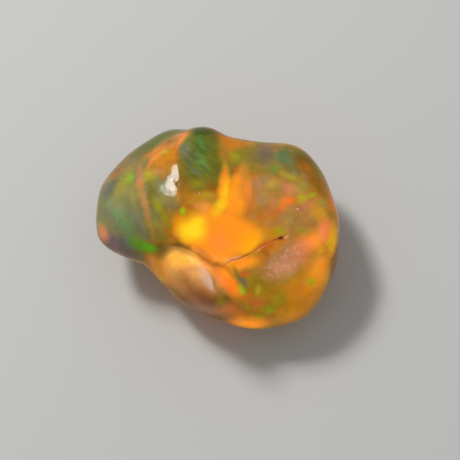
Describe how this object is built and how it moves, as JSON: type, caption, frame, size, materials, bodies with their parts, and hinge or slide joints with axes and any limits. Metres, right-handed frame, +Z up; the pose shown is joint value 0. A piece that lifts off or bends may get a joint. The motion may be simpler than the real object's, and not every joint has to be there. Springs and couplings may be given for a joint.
{
  "type": "fire opal",
  "caption": "Tumbled and polished fire opal: a rounded, lobed, see-through orange stone with green and yellow play of colour, kept loose as a specimen or to be cut as a gem.",
  "frame": {"origin": "centre of the bounding box in plan, at the height of the flat underside", "axes": "+X along the stone's longest way towards its broad right face, +Y towards the back, +Z up out of the flat underside"},
  "size_m": [0.014, 0.012, 0.0065],
  "materials": {
    "opal": "wet-looking polish, slightly see-through"
  },
  "bodies": {
    "root": {"fire_opal": "opal"}
  },
  "joints": []
}
